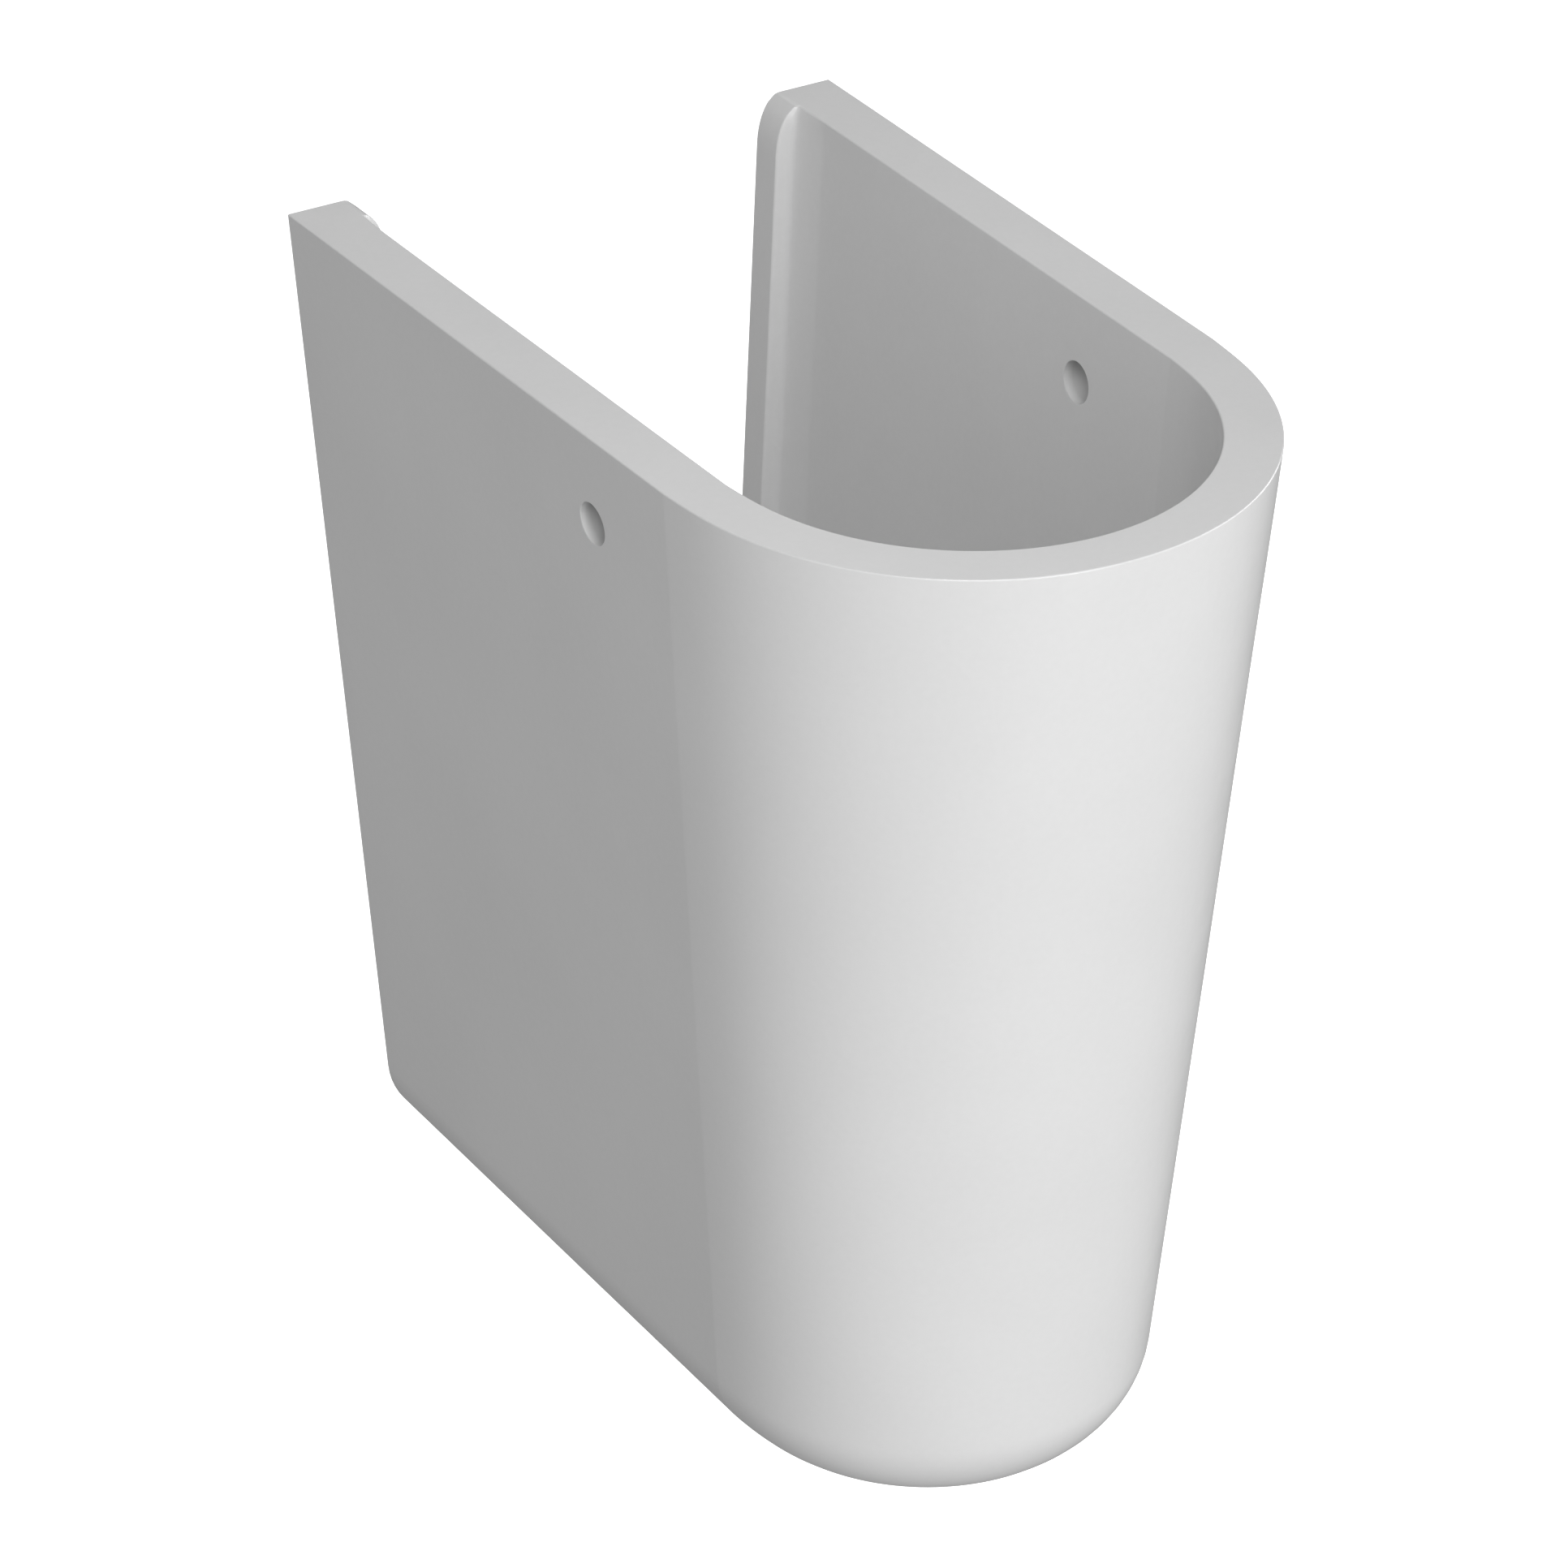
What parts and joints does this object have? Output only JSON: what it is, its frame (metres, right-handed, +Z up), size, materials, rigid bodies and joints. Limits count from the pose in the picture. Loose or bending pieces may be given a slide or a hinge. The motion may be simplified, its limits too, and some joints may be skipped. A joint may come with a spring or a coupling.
{
  "type": "wall-hung half pedestal",
  "caption": "Glazed china half pedestal: a tapered U-shaped shroud, open at top, back and foot, that hooks over wall studs under a basin and hides its trap.",
  "frame": {"origin": "on the wall plane, on the centreline, level with the shroud's underside", "axes": "+Z up, +Y into the wall, so the front faces -Y; +X to the right of someone facing the wall"},
  "size_m": [0.2008, 0.3784, 0.3565],
  "materials": {
    "glazed_china": "gloss",
    "zinc_steel": "satin",
    "grey_nylon": "satin",
    "white_plastic": "gloss"
  },
  "bodies": {
    "wall_fixings": {"left_wall_plug": "grey_nylon", "left_stud": "zinc_steel", "left_sleeve": "grey_nylon", "right_wall_plug": "grey_nylon", "right_stud": "zinc_steel", "right_sleeve": "grey_nylon"},
    "shroud": {"ceramic_shroud": "glazed_china"},
    "left_washer": {"left_washer": "zinc_steel"},
    "left_nut": {"left_nut": "zinc_steel"},
    "left_cap": {"left_cap": "white_plastic"},
    "right_washer": {"right_washer": "zinc_steel"},
    "right_nut": {"right_nut": "zinc_steel"},
    "right_cap": {"right_cap": "white_plastic"}
  },
  "joints": [
    {"name": "shroud_lift", "type": "slide", "parent": "wall_fixings", "child": "shroud", "axis": [0, 0, 1], "range_m": [0, 0.03]},
    {"name": "left_washer_slide", "type": "slide", "parent": "wall_fixings", "child": "left_washer", "axis": [0, -1, 0], "range_m": [0, 0.0101]},
    {"name": "left_nut_turn", "type": "hinge", "parent": "left_washer", "child": "left_nut", "pos_m": [-0.045, -0.025, 0.085], "axis": [0, -1, 0], "range_deg": [0, 2880]},
    {"name": "left_cap_pull", "type": "slide", "parent": "left_nut", "child": "left_cap", "axis": [0, -1, 0], "range_m": [0, 0.02]},
    {"name": "right_washer_slide", "type": "slide", "parent": "wall_fixings", "child": "right_washer", "axis": [0, -1, 0], "range_m": [0, 0.0101]},
    {"name": "right_nut_turn", "type": "hinge", "parent": "right_washer", "child": "right_nut", "pos_m": [0.045, -0.025, 0.085], "axis": [0, -1, 0], "range_deg": [0, 2880]},
    {"name": "right_cap_pull", "type": "slide", "parent": "right_nut", "child": "right_cap", "axis": [0, -1, 0], "range_m": [0, 0.02]}
  ],
  "couplings": [
    {"joint": "left_washer_slide", "follows": "left_nut_turn", "m_per_rad": 0.00019894},
    {"joint": "right_washer_slide", "follows": "right_nut_turn", "m_per_rad": 0.00019894}
  ]
}
